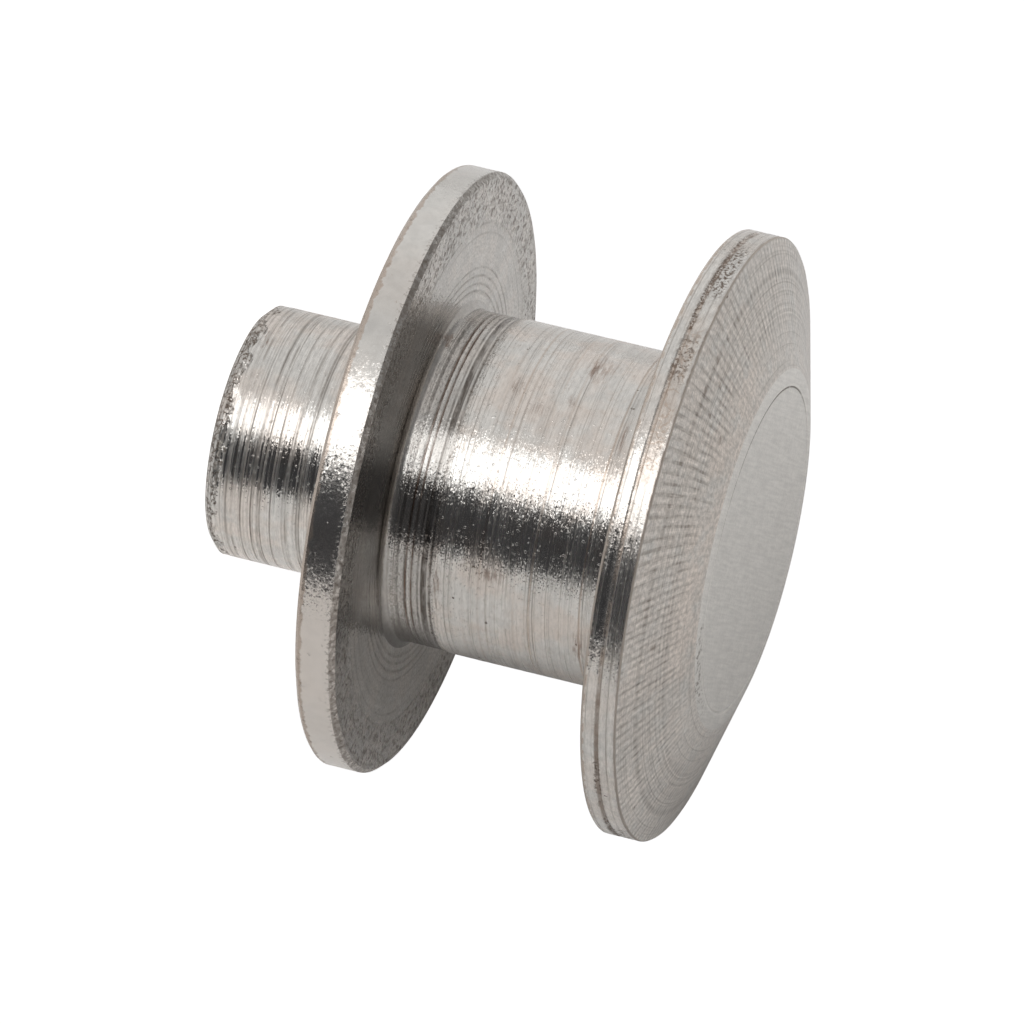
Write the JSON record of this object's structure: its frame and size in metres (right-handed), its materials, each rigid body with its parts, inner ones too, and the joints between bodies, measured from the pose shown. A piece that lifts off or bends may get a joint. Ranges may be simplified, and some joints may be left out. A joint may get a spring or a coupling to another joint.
{
  "type": "drive pin",
  "caption": "One-piece turned steel pin: a short press-in spigot, a thin collar, a cylindrical neck and a wide low-cone head on one axis.",
  "frame": {"origin": "centre of the spigot's flat end, on the pin's axis", "axes": "+Z along the pin's axis, from the spigot's end to the head's flat land; X and Y are equal"},
  "size_m": [0.0144, 0.0144, 0.0126],
  "materials": {
    "turned_steel": "turned, bright, with slight stains and pits"
  },
  "bodies": {
    "root": {"drive_pin": "turned_steel"}
  },
  "joints": []
}
